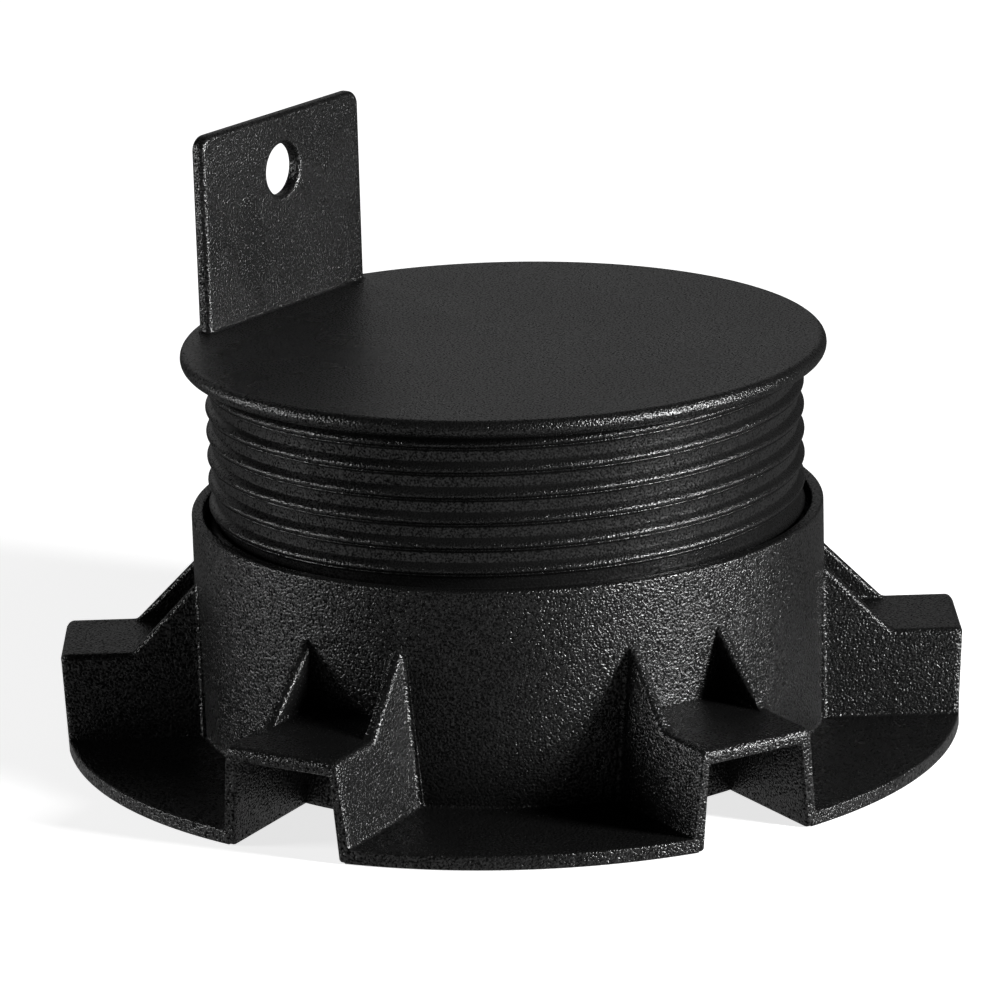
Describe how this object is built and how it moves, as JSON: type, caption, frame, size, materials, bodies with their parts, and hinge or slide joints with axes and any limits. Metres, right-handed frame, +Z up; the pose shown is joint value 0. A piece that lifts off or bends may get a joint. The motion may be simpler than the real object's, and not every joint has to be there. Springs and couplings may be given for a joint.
{
  "type": "decking pedestal",
  "caption": "Height-adjustable black plastic pedestal: round ribbed foot with a threaded collar, and a screw head with a round plate and an upright tab for a joist.",
  "frame": {"origin": "on the axis of the thread, at the ground that the foot stands on", "axes": "+Z up along the thread's axis; the tab stands on the -X side and its joist face looks along +X; Y runs along the width of the tab"},
  "size_m": [0.18, 0.1814, 0.12],
  "materials": {
    "foot_plastic": "grained, semi-matt black polypropylene",
    "head_plastic": "finely grained, semi-matt black polypropylene"
  },
  "bodies": {
    "foot": {"foot": "foot_plastic"},
    "head": {"screw_head": "head_plastic"}
  },
  "joints": [
    {"name": "height", "type": "slide", "parent": "foot", "child": "head", "axis": [0, 0, 1], "range_m": [-0.0297, 0.005]}
  ]
}
